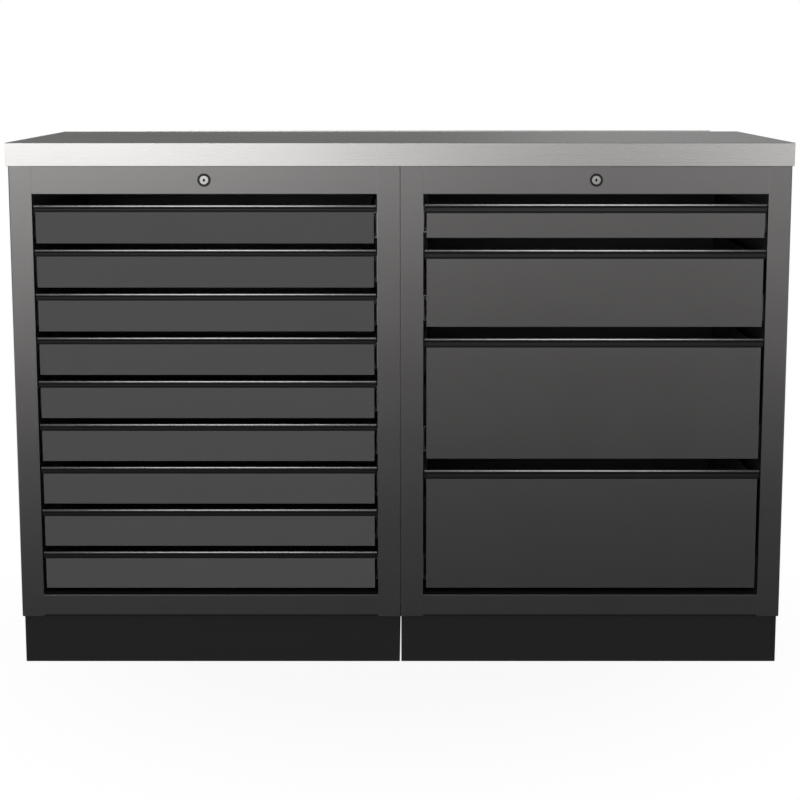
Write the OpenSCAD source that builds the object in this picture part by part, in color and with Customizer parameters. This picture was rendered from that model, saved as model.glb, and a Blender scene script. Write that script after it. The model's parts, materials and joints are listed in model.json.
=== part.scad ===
// Workshop bench: two drawer cabinets side by side under one stainless steel worktop.
// Origin: middle of the footprint, on the floor. X runs to the right, the fronts face -Y.
// Each cabinet is drawn in its own frame: x = 0 in its middle, y = 0 at its front face.

/* [Cabinets] */
// Width of one cabinet
cabinet_w = 680; // [560:1:820]
// Depth of one cabinet, front face to back face
cabinet_d = 485; // [400:1:640]
// Height of one cabinet, plinth to worktop
cabinet_h = 810; // [670:1:1000]
// Gap between the two cabinets, held by spacer washers
cabinet_gap = 0.5; // [0.3:0.1:4]
// Thickness of the cabinets' sheet steel
sheet = 1.2; // [0.8:0.1:2]
// Width of the hollow side walls, seen from the front as posts
post_w = 40; // [30:1:60]
// Height of the top rail above the drawers
top_rail_h = 50; // [40:1:80]
// Height of the bottom rail below the drawers
bottom_rail_h = 40; // [28:1:60]
// Depth of the folds behind the top rail and along the top of the back
rail_fold = 50; // [40:1:70]
// Depth of the fold behind the bottom rail
bottom_fold = 25; // [20:1:40]
// Height of the lip at the end of that fold
fold_lip = 10; // [6:1:16]

/* [Worktop] */
// Thickness of the worktop
worktop_t = 40; // [25:1:60]
// How far it stands out past the cabinets' front
worktop_front = 10; // [4:1:30]
// How far it stands out behind them
worktop_back = 5; // [0:1:30]
// How far it stands out at each end
worktop_side = 1; // [0:0.5:20]
// Thickness of the stainless steel skin
skin_t = 1.5; // [1:0.1:3]
// Radius of the bend along the front edge, outside
skin_bend = 3; // [2:0.5:8]
// Depth of the fold under the front edge
skin_hem = 7; // [4:0.5:25]
// Height of the low lip along the back edge
lip_h = 2; // [1:0.5:20]
// Length of plain edge between the lip and the right-hand end
lip_stop = 56; // [5:1:200]
// Play between the skin and the board inside it
core_play = 0.2; // [0.1:0.1:1]

/* [Plinths] */
// Height of the plinths
plinth_h = 90; // [60:1:150]
// How far the plinth stands back from the front
plinth_front = 15; // [5:1:60]
// How far it stands back at the sides and the back
plinth_side = 1; // [0.5:0.5:10]
// Thickness of the plinth's sheet steel
plinth_t = 2; // [1.5:0.1:3]
// Width of the folded flanges at its top and bottom
plinth_flange = 25; // [20:1:34]

/* [Drawers] */
// Number of equal drawers in the left-hand cabinet
left_count = 9; // [5:1:11]
// Height of the first front in the right-hand cabinet
small_front_h = 43; // [34:1:60]
// Height of the second front in the right-hand cabinet
medium_front_h = 120; // [90:1:150]
// Gap at each end of a front
front_gap = 5.8; // [3:0.1:8]
// Space between the top rail and the first front
first_band_left = 31.3; // [26:0.1:40]
// The same in the right-hand cabinet
first_band_right = 33; // [26:0.1:40]
// Space between two fronts, for grip and fingers, in the left-hand cabinet
band_left = 23.4; // [22:0.1:40]
// The same in the right-hand cabinet
band_right = 37; // [24:0.1:50]
// Gap between the last front and the bottom rail
last_gap = 13; // [6:0.5:20]
// How far the fronts stand back from the posts
front_setback = 0.5; // [0:0.1:2]
// Depth of the folded edges of a front
front_fold = 20; // [12:1:24]
// Thickness of the tray's sheet steel
tray_t = 1; // [0.8:0.1:1.5]
// Height of the tray's walls above the top of its front
tray_rise = 4; // [0:0.5:8]

/* [Grips] */
// Height of the nose's middle above the front, left-hand cabinet
nose_rise_left = 9.2; // [7:0.1:14]
// The same in the right-hand cabinet
nose_rise_right = 12.8; // [7:0.1:20]
// Diameter of the rounded nose
nose_dia = 7; // [4:0.1:8.4]
// Depth of the grip, from the face of the front to the tray
grip_d = 26; // [24:0.5:34]
// Depth of the finger trough below the top of the front
trough_drop = 10; // [6:0.5:16]
// Wall thickness of the grip profile
grip_t = 1.8; // [1.2:0.1:2.5]
// Gap between the grip's ends and the posts
grip_end_gap = 2.4; // [0.8:0.1:4]

/* [Runners] */
// Thickness of one telescopic runner
runner_t = 12.7; // [12.5:0.1:16]
// Height of its fixed member
runner_h = 45; // [35:1:46]
// Thickness of its rolled steel
runner_sheet = 1.2; // [1:0.1:1.5]
// Room for the balls between two members
ball_gap = 1.6; // [1:0.1:2.5]
// Height of the runner's middle above the bottom of the front
runner_rise = 30; // [24:0.5:36]
// Free space behind the runners, for the lock bar
rear_space = 58; // [50:1:90]

/* [Locks] */
// Diameter of the turning cylinder
barrel_dia = 15; // [10:0.1:18]
// Wall of the housing round the cylinder
housing_wall = 2; // [1.5:0.1:4]
// Width of the housing's front ring beyond its hole in the rail
ring_edge = 2; // [1:0.1:5]
// How far the ring stands proud of the rail
ring_t = 1.5; // [1:0.1:3]
// Play on the diameter between the cylinder and the housing
barrel_play = 0.16; // [0.08:0.02:0.2]
// Length of the cylinder behind the rail's face
barrel_len = 24; // [22:1:40]
// Length of the housing behind the rail's face
housing_len = 20; // [12:1:21]
// Diameter of the shaft from the cylinder to the crank
shaft_dia = 8; // [6:0.5:10]
// Travel of the lock bar
bar_lift = 12; // [10:0.5:16]
// Distance of the lock bar's front from the back of the cabinet
bar_back = 30; // [24:1:40]
// Thickness of the lock bar
bar_t = 2; // [1.5:0.1:3]
// Width of the lock bar
bar_w = 44; // [40:1:60]
// Play all round the lock bar in its guides
bar_play = 0.5; // [0.3:0.1:1]
// Width of a drawer's catch
catch_w = 16; // [10:1:18]
// Diameter of the pin on the crank
pin_dia = 5; // [4:0.1:6]

/* [Fasteners] */
// Diameter of the bolts
bolt_dia = 6; // [5:0.5:8]
// Diameter of the screws into the board
screw_dia = 5; // [4:0.5:6]
// Extra diameter of a clearance hole
hole_play = 0.6; // [0.3:0.1:1.5]
// How deep the screws go into the board
screw_reach = 16; // [10:1:20]
// Distance of the screws and plinth bolts from the side walls
screw_inset = 50; // [30:1:90]
// Length of the plinth bolts' shanks
plinth_bolt_len = 16; // [12:1:24]
// Extra diameter of a thread's hole
thread_play = 0.12; // [0.06:0.02:0.2]
// Distance of the joining bolts from the top and bottom of a cabinet
joint_inset_z = 22; // [18:1:30]
// Distance of the joining bolts from its front and back
joint_inset_y = 22; // [16:1:26]

/* [Hidden] */
$fn = 48;
eps = 0.01;
cut = 1; // how far a cut runs past what it cuts
left = -1;
right = 1;
left_drawers = [for (i = [1:left_count]) str("left_drawer_", i)];
right_drawers = [for (i = [1:4]) str("right_drawer_", i)];
cabinet_parts = ["left_side", "right_side", "back_panel", "top_rail", "floor", "plinth",
                 "lock_barrel", "lock_bar"];

// Overall places
bench_d = worktop_front + cabinet_d + worktop_back;
front_y = worktop_front - bench_d / 2;
bench_w = 2 * cabinet_w + cabinet_gap + 2 * worktop_side;
cabinet_x = (cabinet_w + cabinet_gap) / 2;
cabinet_top = plinth_h + cabinet_h;
bench_top = cabinet_top + worktop_t;
opening_w = cabinet_w - 2 * post_w;
opening_low = plinth_h + bottom_rail_h;
opening_high = cabinet_top - top_rail_h;

// Drawer fronts, numbered from 0 at the top
function first_band(side) = side == left ? first_band_left : first_band_right;
function band(side) = side == left ? band_left : band_right;
function nose_rise(side) = side == left ? nose_rise_left : nose_rise_right;
function count(side) = side == left ? left_count : 4;
function free_h(side) =
    opening_high - opening_low - first_band(side) - last_gap - (count(side) - 1) * band(side);
left_front_h = free_h(left) / left_count;
large_front_h = (free_h(right) - small_front_h - medium_front_h) / 2;
right_fronts = [small_front_h, medium_front_h, large_front_h, large_front_h];
function front_h(side, i) = side == left ? left_front_h : right_fronts[i];
function front_top(side, i) =
    i == 0 ? opening_high - first_band(side) : front_top(side, i - 1) - front_h(side, i - 1) - band(side);
function front_bottom(side, i) = front_top(side, i) - front_h(side, i);
front_w = opening_w - 2 * front_gap;
grip_w = opening_w - 2 * grip_end_gap;
foot_play = 0.3;
grip_foot_w = front_w - 2 * (sheet + foot_play);
nose_forward = 1;
grip_flange = 4;

// Runners: members nest from the wall towards the tray
tray_w = opening_w - 2 * runner_t;
tray_y = front_setback + grip_d;
runner_y = tray_y + tray_t;
runner_len = cabinet_d - rear_space - runner_y;
tray_back = runner_y + runner_len;
web_play = 0.8;
flange_play = 1;
middle_near = runner_sheet + web_play;
inner_near = middle_near + runner_sheet + web_play;
middle_far = runner_t - runner_sheet - flange_play;
fixed_depth = middle_far - flange_play;
middle_h = runner_h - 2 * (runner_sheet + ball_gap);
inner_h = middle_h - 2 * (runner_sheet + ball_gap);

// Lock: a crank pin lifts the bar through a horizontal slot, half its swing below the middle
lock_z = cabinet_top - top_rail_h / 2;
housing_dia = barrel_dia + 2 * housing_wall;
ring_dia = housing_dia + 2 * ring_edge;
nut_dia = 1.45 * housing_dia;
nut_t = 4;
barrel_setback = 0.3;
bar_y = cabinet_d - bar_back;
half_swing = 45;
crank_r = bar_lift / (2 * sin(half_swing));
pin_x = -crank_r * cos(half_swing);
pin_z = lock_z - bar_lift / 2;
pin_sweep = crank_r + pin_x;
crank_t = 4;
crank_edge = 3;
crank_y = bar_y - 5 - crank_t;
slot_h = pin_dia + 1;
slot_play = 0.4;
bar_end = 9;
catch_t = 2;
catch_drop = 12;
catch_lip = bar_lift - 1;
catch_end = bar_y + bar_t + 2;
window_play = 4;
window_low = bar_lift + 0.5;
window_high = catch_t + 1.5;
function catch_z(side, i) = front_top(side, i) - catch_drop;
guide_h = 15;
guide_lip = 6;
guide_rise = bar_lift + 10;
function guide_z(side) = [for (i = [0, count(side) - 1]) catch_z(side, i) + guide_rise];

// Fasteners
head_dia = 1.9 * screw_dia;
head_t = 0.8 * screw_dia;
hex_dia = 1.9 * bolt_dia;
hex_t = 0.7 * bolt_dia;
washer_dia = 2.4 * bolt_dia;
bolt_end = 2;
top_screw_x = opening_w / 2 - screw_inset;
top_screw_y = [rail_fold / 2, cabinet_d - rail_fold / 2];
joint_y = [joint_inset_y, cabinet_d - joint_inset_y];
joint_z = [plinth_h + joint_inset_z, cabinet_top - joint_inset_z];
plinth_bolt_y = [plinth_front + plinth_flange / 2, cabinet_d - plinth_side - plinth_flange / 2];

module at_cabinet(side) {
    translate([side * cabinet_x, front_y, 0]) children();
}

// A box from its lowest corner and its size
module block(corner, size) {
    translate(corner) cube(size);
}

// A box centred on x = 0
module mid_block(w, y, d, z, h) {
    block([-w / 2, y, z], [w, d, h]);
}

module rod_y(x, z, y0, y1, dia) {
    translate([x, y0, z]) rotate([-90, 0, 0]) cylinder(d = dia, h = y1 - y0);
}

module rod_x(x0, x1, y, z, dia) {
    translate([x0, y, z]) rotate([0, 90, 0]) cylinder(d = dia, h = x1 - x0);
}

module rod_z(x, y, z0, z1, dia) {
    translate([x, y, z0]) cylinder(d = dia, h = z1 - z0);
}

// Section of the worktop skin seen from its end: bends, fascia, hem and back edge
module skin_section(d, t, r) {
    difference() {
        union() {
            translate([r, t - r]) circle(r = r);
            translate([r, 0]) square([d - r, t]);
            square([r + eps, t - r]);
        }
        translate([r, t - r]) circle(r = r - skin_t);
        translate([r, skin_t]) square([d - r - skin_t, t - 2 * skin_t]);
        translate([skin_t, skin_t]) square([r - skin_t + eps, t - r - skin_t]);
        translate([skin_hem, -eps]) square([d - skin_hem - skin_t, skin_t + 2 * eps]);
    }
}

module worktop_skin() {
    color("gainsboro") {
        translate([-bench_w / 2, -bench_d / 2, cabinet_top]) {
            rotate([90, 0, 90]) linear_extrude(bench_w) skin_section(bench_d, worktop_t, skin_bend);
            for (x = [0, bench_w - skin_t])
                block([x, skin_bend, 0], [skin_t, bench_d - skin_bend, worktop_t - skin_t / 2]);
        }
        block([-bench_w / 2, bench_d / 2 - skin_t, bench_top - eps],
              [bench_w - lip_stop, skin_t, lip_h + eps]);
    }
}

module worktop_core() {
    inset = skin_t + core_play;
    color("burlywood") difference() {
        block([-bench_w / 2 + inset, -bench_d / 2 + skin_bend, cabinet_top],
              [bench_w - 2 * inset, bench_d - skin_bend - inset, worktop_t - inset]);
        block([-bench_w / 2, -bench_d / 2, cabinet_top - eps],
              [bench_w, skin_hem + core_play, skin_t + core_play + eps]);
        for (side = [left, right]) at_cabinet(side) for (x = [-1, 1]) for (y = top_screw_y)
            rod_z(x * top_screw_x, y, cabinet_top - eps, cabinet_top + screw_reach + cut,
                  screw_dia + thread_play);
    }
}

// Hollow side wall with its front post, drilled for the joining bolts
module side_wall(side, hand) {
    wall_x = hand * (cabinet_w - post_w) / 2;
    color("dimgray") at_cabinet(side) difference() {
        translate([wall_x, 0, 0]) mid_block(post_w, 0, cabinet_d, plinth_h, cabinet_h);
        translate([wall_x, 0, 0])
            mid_block(post_w - 2 * sheet, sheet, cabinet_d - 2 * sheet,
                      plinth_h + sheet, cabinet_h - 2 * sheet);
        for (y = joint_y) for (z = joint_z)
            rod_x(wall_x - post_w, wall_x + post_w, y, z, bolt_dia + hole_play);
    }
}

// Guides that hold the lock bar to the back panel
module bar_guide(z) {
    leg_x = bar_w / 2 + bar_play;
    guide_y = bar_y - bar_play - sheet;
    for (hand = [0, 1]) mirror([hand, 0, 0]) {
        block([leg_x, guide_y, z], [sheet, cabinet_d - sheet - guide_y, guide_h]);
        block([leg_x - guide_lip, guide_y, z], [guide_lip + eps, sheet, guide_h]);
        block([leg_x - guide_lip, bar_y + bar_t + bar_play, z], [guide_lip + eps, sheet, guide_h]);
    }
}

module back_panel(side) {
    color("dimgray") at_cabinet(side) {
        difference() {
            union() {
                mid_block(opening_w, cabinet_d - sheet, sheet, plinth_h + sheet, cabinet_h - sheet);
                mid_block(opening_w, cabinet_d - rail_fold, rail_fold, cabinet_top - sheet, sheet);
                for (z = guide_z(side)) bar_guide(z);
            }
            for (x = [-1, 1])
                rod_z(x * top_screw_x, top_screw_y[1], cabinet_top - 2 * sheet, cabinet_top + cut,
                      screw_dia + hole_play);
            for (x = [-1, 1]) for (z = [opening_low, opening_high])
                rod_y(x * top_screw_x, z, cabinet_d - 2 * sheet, cabinet_d + cut, bolt_dia + hole_play);
        }
    }
}

module top_rail(side) {
    color("dimgray") at_cabinet(side) difference() {
        mid_block(opening_w, 0, rail_fold, opening_high, top_rail_h);
        mid_block(opening_w + 2 * cut, sheet, rail_fold, opening_high + sheet, top_rail_h - 2 * sheet);
        rod_y(0, lock_z, -cut, 2 * sheet, housing_dia + 2 * thread_play);
        for (x = [-1, 1])
            rod_z(x * top_screw_x, top_screw_y[0], cabinet_top - 2 * sheet, cabinet_top + cut,
                  screw_dia + hole_play);
    }
}

module floor_pan(side) {
    lip_w = opening_w - 2 * (hex_t + 2 * bolt_end); // ends short of the joining nuts
    color("dimgray") at_cabinet(side) difference() {
        union() {
            mid_block(opening_w, 0, cabinet_d - sheet, plinth_h, sheet);
            mid_block(opening_w, 0, sheet, plinth_h, bottom_rail_h);
            mid_block(opening_w, 0, bottom_fold, opening_low - sheet, sheet);
            mid_block(lip_w, bottom_fold - sheet, sheet, opening_low - fold_lip, fold_lip);
        }
        for (x = [-1, 1]) for (y = plinth_bolt_y)
            rod_z(x * top_screw_x, y, plinth_h - cut, plinth_h + 2 * sheet, bolt_dia + hole_play);
    }
}

module plinth(side) {
    w = cabinet_w - 2 * plinth_side;
    d = cabinet_d - plinth_front - plinth_side;
    color([0.12, 0.12, 0.12]) at_cabinet(side) difference() {
        mid_block(w, plinth_front, d, 0, plinth_h);
        mid_block(w - 2 * plinth_t, plinth_front + plinth_t, d - 2 * plinth_t,
                  plinth_t, plinth_h - 2 * plinth_t);
        mid_block(w - 2 * plinth_flange, plinth_front + plinth_flange, d - 2 * plinth_flange,
                  -cut, plinth_h + 2 * cut);
        for (x = [-1, 1]) for (y = plinth_bolt_y)
            rod_z(x * top_screw_x, y, plinth_h - 2 * plinth_t, plinth_h + cut, bolt_dia + hole_play);
    }
}

// The lock's turning part: cylinder with keyway, long shaft, crank and pin
module lock_barrel(side) {
    key_dia = 3.6;
    key_depth = 9;
    keyway = [1.4, 6];
    keyway_drop = 4;
    color("silver") at_cabinet(side) difference() {
        union() {
            rod_y(0, lock_z, barrel_setback - ring_t, barrel_len, barrel_dia);
            rod_y(0, lock_z, barrel_len - eps, crank_y + eps, shaft_dia);
            rod_y(0, lock_z, crank_y, crank_y + crank_t, 2 * (crank_r + crank_edge) + pin_dia);
            rod_y(pin_x, pin_z, crank_y + crank_t - eps, bar_y + bar_t + 1, pin_dia);
        }
        rod_y(0, lock_z, -ring_t - cut, key_depth, key_dia);
        mid_block(keyway[0], -ring_t - cut, key_depth + ring_t + cut, lock_z - keyway_drop, keyway[1]);
    }
}

module lock_housings() {
    color("darkslategray") for (side = [left, right]) at_cabinet(side) {
        difference() {
            union() {
                rod_y(0, lock_z, -ring_t, eps, ring_dia);
                rod_y(0, lock_z, 0, housing_len, housing_dia);
            }
            rod_y(0, lock_z, -ring_t - cut, housing_len + cut, barrel_dia + barrel_play);
        }
        difference() {
            translate([0, sheet, lock_z]) rotate([-90, 0, 0]) cylinder(d = nut_dia, h = nut_t, $fn = 6);
            rod_y(0, lock_z, 0, sheet + nut_t + cut, housing_dia + thread_play);
        }
    }
}

// Flat bar with one window for each drawer's catch and a slot for the crank pin
module lock_bar(side) {
    last = count(side) - 1;
    bar_low = catch_z(side, last) - window_low - bar_end;
    bar_high = pin_z + slot_h / 2 + bar_end;
    color("lightgray") at_cabinet(side) difference() {
        mid_block(bar_w, bar_y, bar_t, bar_low, bar_high - bar_low);
        for (i = [0:last])
            mid_block(catch_w + 2 * window_play, bar_y - cut, bar_t + 2 * cut,
                      catch_z(side, i) - window_low, window_low + window_high);
        block([pin_x - pin_sweep - pin_dia / 2 - slot_play, bar_y - cut, pin_z - slot_h / 2],
              [pin_sweep + pin_dia + 2 * slot_play, bar_t + 2 * cut, slot_h]);
    }
}

// One runner member: a channel between two distances from the wall, web on either side
module runner_member(side, i, near, far, h, web_near) {
    z = front_bottom(side, i) + runner_rise;
    shift = web_near ? runner_sheet : -runner_sheet;
    for (hand = [0, 1]) mirror([hand, 0, 0]) difference() {
        block([opening_w / 2 - far, runner_y, z - h / 2], [far - near, runner_len, h]);
        block([opening_w / 2 - far - shift, runner_y - cut, z - h / 2 + runner_sheet],
              [far - near, runner_len + 2 * cut, h - 2 * runner_sheet]);
    }
}

module fixed_rails() {
    color("lightsteelblue") for (side = [left, right]) at_cabinet(side) for (i = [0:count(side) - 1])
        runner_member(side, i, 0, fixed_depth, runner_h, true);
}

module drawer_middle_rails(side, i) {
    color("silver") at_cabinet(side) runner_member(side, i, middle_near, middle_far, middle_h, true);
}

module drawer_front(side, i) {
    z = front_bottom(side, i);
    h = front_h(side, i);
    difference() {
        mid_block(front_w, front_setback, front_fold, z, h);
        mid_block(front_w - 2 * sheet, front_setback + sheet, front_fold, z + sheet, h);
    }
}

module drawer_tray(side, i) {
    z = front_bottom(side, i) + sheet;
    h = front_top(side, i) + tray_rise - z;
    floor_y = front_setback + sheet;
    difference() {
        mid_block(tray_w, tray_y, tray_back - tray_y, z, h);
        mid_block(tray_w - 2 * tray_t, tray_y + tray_t, tray_back - tray_y - 2 * tray_t, z + tray_t, h);
    }
    mid_block(tray_w, floor_y, tray_y - floor_y + eps, z, tray_t);
}

// Catch at the back of a tray: a tongue through the lock bar's window, with a lip behind it
module drawer_catch(side, i) {
    z = catch_z(side, i);
    mid_block(catch_w, tray_back - eps, catch_end + catch_t - tray_back, z, catch_t);
    mid_block(catch_w, catch_end, catch_t, z - catch_lip, catch_lip + eps);
}

module drawer_box(side, i) {
    color([0.3, 0.3, 0.3]) at_cabinet(side) union() {
        drawer_front(side, i);
        drawer_tray(side, i);
        drawer_catch(side, i);
        runner_member(side, i, inner_near, runner_t, inner_h, false);
    }
}

// Section of the grip: y from the face of the front, z from its top
module grip_section(rise) {
    translate([nose_dia / 2 - nose_forward, rise]) circle(d = nose_dia);
    translate([sheet, -trough_drop]) square([grip_t, trough_drop + rise]);
    translate([sheet, -trough_drop]) square([grip_d - sheet, grip_t]);
    translate([grip_d - grip_t, -trough_drop]) square([grip_t, trough_drop + tray_rise + grip_t]);
    translate([grip_d - grip_t, tray_rise]) square([grip_t + grip_flange, grip_t]);
}

module drawer_grip(side, i) {
    z = front_top(side, i);
    color([0.08, 0.08, 0.08]) at_cabinet(side) translate([0, front_setback, z]) difference() {
        translate([-grip_w / 2, 0, 0]) rotate([90, 0, 90])
            linear_extrude(grip_w) grip_section(nose_rise(side));
        for (hand = [0, 1]) mirror([hand, 0, 0])
            block([grip_foot_w / 2, -nose_dia, -trough_drop - cut],
                  [grip_w, 2 * grip_d, trough_drop + cut]);
        for (hand = [0, 1]) mirror([hand, 0, 0])
            block([tray_w / 2, grip_d - grip_t - eps, -cut],
                  [grip_w, 2 * grip_d, tray_rise + grip_t + 2 * cut]);
    }
}

module hex_bolt_down(x, y, z, len) {
    translate([x, y, z - eps]) cylinder(d = hex_dia, h = hex_t, $fn = 6);
    rod_z(x, y, z - len, z, bolt_dia);
}

module hex_nut_below(x, y, z) {
    difference() {
        translate([x, y, z - hex_t]) cylinder(d = hex_dia, h = hex_t, $fn = 6);
        rod_z(x, y, z - 2 * hex_t, z + cut, bolt_dia + thread_play);
    }
}

// Bolt, nut and spacer washer that join the cabinets through their side walls
module joining_set(y, z) {
    reach = post_w + cabinet_gap / 2;
    translate([-reach - hex_t, y, z]) rotate([0, 90, 0]) cylinder(d = hex_dia, h = hex_t, $fn = 6);
    rod_x(-reach - eps, reach + hex_t + bolt_end, y, z, bolt_dia);
    difference() {
        translate([reach, y, z]) rotate([0, 90, 0]) cylinder(d = hex_dia, h = hex_t, $fn = 6);
        rod_x(reach - cut, reach + hex_t + cut, y, z, bolt_dia + thread_play);
    }
    difference() {
        rod_x(-cabinet_gap / 2, cabinet_gap / 2, y, z, washer_dia);
        rod_x(-cabinet_gap, cabinet_gap, y, z, bolt_dia + thread_play);
    }
}

module fixings() {
    color("gray") {
        for (side = [left, right]) at_cabinet(side) for (x = [-top_screw_x, top_screw_x]) {
            for (y = top_screw_y) {
                rod_z(x, y, cabinet_top - sheet - head_t, cabinet_top - sheet, head_dia);
                rod_z(x, y, cabinet_top - sheet - eps, cabinet_top + screw_reach, screw_dia);
            }
            for (y = plinth_bolt_y) {
                hex_bolt_down(x, y, plinth_h + sheet, plinth_bolt_len);
                hex_nut_below(x, y, plinth_h - plinth_t);
            }
        }
        translate([0, front_y, 0]) for (y = joint_y) for (z = joint_z) joining_set(y, z);
    }
}

worktop_skin();
worktop_core();
fixings();
fixed_rails();
lock_housings();
for (side = [left, right]) {
    name = side == left ? "left" : "right";
    cabinet = str(name, "_cabinet_");
    side_wall(side, -1);
    side_wall(side, 1);
    back_panel(side);
    top_rail(side);
    floor_pan(side);
    plinth(side);
    lock_barrel(side);
    lock_bar(side);
    for (i = [0:count(side) - 1]) {
        drawer = str(name, "_drawer_", i + 1);
        drawer_box(side, i);
        drawer_grip(side, i);
        drawer_middle_rails(side, i);
    }
}
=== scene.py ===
import json
import math

import bmesh
import bpy
from mathutils import Matrix, Vector

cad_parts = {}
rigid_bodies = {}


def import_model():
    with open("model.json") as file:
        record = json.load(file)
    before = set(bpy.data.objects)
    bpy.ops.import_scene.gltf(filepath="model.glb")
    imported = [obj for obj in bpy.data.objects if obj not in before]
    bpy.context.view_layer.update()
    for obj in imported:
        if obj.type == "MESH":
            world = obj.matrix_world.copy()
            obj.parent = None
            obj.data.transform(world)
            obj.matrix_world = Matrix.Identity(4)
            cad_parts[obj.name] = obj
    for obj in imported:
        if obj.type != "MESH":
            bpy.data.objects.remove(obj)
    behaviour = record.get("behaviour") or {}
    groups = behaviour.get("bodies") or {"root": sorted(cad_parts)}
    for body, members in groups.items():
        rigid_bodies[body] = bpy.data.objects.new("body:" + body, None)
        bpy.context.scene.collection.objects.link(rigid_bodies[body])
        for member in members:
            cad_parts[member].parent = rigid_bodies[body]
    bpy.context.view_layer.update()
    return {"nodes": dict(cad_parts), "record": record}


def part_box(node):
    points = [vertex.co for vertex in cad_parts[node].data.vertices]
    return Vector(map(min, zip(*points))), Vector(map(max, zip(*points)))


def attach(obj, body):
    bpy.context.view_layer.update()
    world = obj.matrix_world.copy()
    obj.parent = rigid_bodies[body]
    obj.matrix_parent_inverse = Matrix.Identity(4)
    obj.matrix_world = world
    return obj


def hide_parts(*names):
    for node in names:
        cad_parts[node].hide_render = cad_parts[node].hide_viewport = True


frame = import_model()
sides = ("left", "right")
sameWithin = 0.00001  # two places closer than this are the same


def clearSelection():
    if bpy.context.mode != "OBJECT":
        bpy.ops.object.mode_set(mode="OBJECT")
    bpy.ops.object.select_all(action="DESELECT")


def makeActive(obj):
    clearSelection()
    obj.select_set(True)
    bpy.context.view_layer.objects.active = obj


def addBox(name, low, high):
    clearSelection()
    low, high = Vector(low), Vector(high)
    bpy.ops.mesh.primitive_cube_add(size=1, location=(low + high) / 2)
    obj = bpy.context.object
    obj.name = name
    obj.scale = high - low
    bpy.ops.object.transform_apply(location=True, rotation=True, scale=True)
    return obj


def addRod(name, axis, centre, radius, length, flats=32):
    clearSelection()
    turn = {"x": (0, math.pi / 2, 0), "y": (math.pi / 2, 0, 0)}[axis]
    bpy.ops.mesh.primitive_cylinder_add(vertices=flats, radius=radius, depth=length, location=centre,
                                        rotation=turn)
    obj = bpy.context.object
    obj.name = name
    bpy.ops.object.transform_apply(location=True, rotation=True, scale=True)
    return obj


# goes into edit mode with only the faces, edges or vertices selected that pass the test
def pick(obj, kind, test):
    makeActive(obj)
    bpy.ops.object.mode_set(mode="EDIT")
    bpy.ops.mesh.select_mode(type=kind)
    bpy.ops.mesh.select_all(action="DESELECT")
    mesh = bmesh.from_edit_mesh(obj.data)
    mesh.normal_update()
    for part in {"FACE": mesh.faces, "EDGE": mesh.edges, "VERT": mesh.verts}[kind]:
        if test(part):
            part.select_set(True)
    mesh.select_flush_mode()
    bmesh.update_edit_mesh(obj.data)


def middle(part):
    if isinstance(part, bmesh.types.BMFace):
        return part.calc_center_median()
    return (part.verts[0].co + part.verts[1].co) / 2


def at(part, axis, place):
    return abs(middle(part)[axis] - place) < sameWithin


def rise(edge, axis):  # how far an edge runs along an axis
    return abs(edge.verts[0].co[axis] - edge.verts[1].co[axis])


def folded(edge):  # between two faces, and so not on a sheet's rim
    return not edge.is_boundary


def extrude(obj, test, move, kind="FACE"):
    pick(obj, kind, test)
    if kind == "FACE":
        bpy.ops.mesh.extrude_region_move(TRANSFORM_OT_translate={"value": move})
    else:
        bpy.ops.mesh.extrude_edges_move(TRANSFORM_OT_translate={"value": move})
    bpy.ops.object.mode_set(mode="OBJECT")


def cut(obj, point, normal):
    pick(obj, "FACE", lambda face: True)
    bpy.ops.mesh.bisect(plane_co=point, plane_no=normal)
    bpy.ops.object.mode_set(mode="OBJECT")


def removeFaces(obj, test):
    pick(obj, "FACE", test)
    bpy.ops.mesh.delete(type="FACE")
    bpy.ops.object.mode_set(mode="OBJECT")


def roundEdges(obj, test, width, segments):
    pick(obj, "EDGE", test)
    bpy.ops.mesh.bevel(offset=width, segments=segments, profile=0.5, affect="EDGES")
    bpy.ops.object.mode_set(mode="OBJECT")


def applyAll(obj):
    makeActive(obj)
    for modifier in list(obj.modifiers):
        bpy.ops.object.modifier_apply(modifier=modifier.name)


def thicken(obj, sheet):
    modifier = obj.modifiers.new("sheet", "SOLIDIFY")
    modifier.thickness = sheet
    modifier.offset = -1
    modifier.use_even_offset = True
    applyAll(obj)


def softenEdges(obj, width, segments=2, angle=35):
    modifier = obj.modifiers.new("soft edges", "BEVEL")
    modifier.width = width
    modifier.segments = segments
    modifier.limit_method = "ANGLE"
    modifier.angle_limit = math.radians(angle)
    modifier.use_clamp_overlap = True
    applyAll(obj)


def combine(obj, tool, operation):
    modifier = obj.modifiers.new("combine", "BOOLEAN")
    modifier.operation = operation
    modifier.solver = "EXACT"
    modifier.object = tool
    applyAll(obj)
    bpy.data.objects.remove(tool)


def joinAll(name, parts):
    clearSelection()
    for part in parts:
        part.select_set(True)
    bpy.context.view_layer.objects.active = parts[0]
    if len(parts) > 1:
        bpy.ops.object.join()
    parts[0].name = name
    return parts[0]


def mirrored(obj, name, planeX):
    copy = bpy.data.objects.new(name, obj.data.copy())
    bpy.context.scene.collection.objects.link(copy)
    copy.data.transform(Matrix.Translation((2 * planeX, 0, 0)) @ Matrix.Scale(-1, 4, (1, 0, 0)))
    copy.data.flip_normals()
    return copy


def copied(obj, name, move):
    copy = bpy.data.objects.new(name, obj.data.copy())
    bpy.context.scene.collection.objects.link(copy)
    copy.data.transform(Matrix.Translation(move))
    return copy


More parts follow.
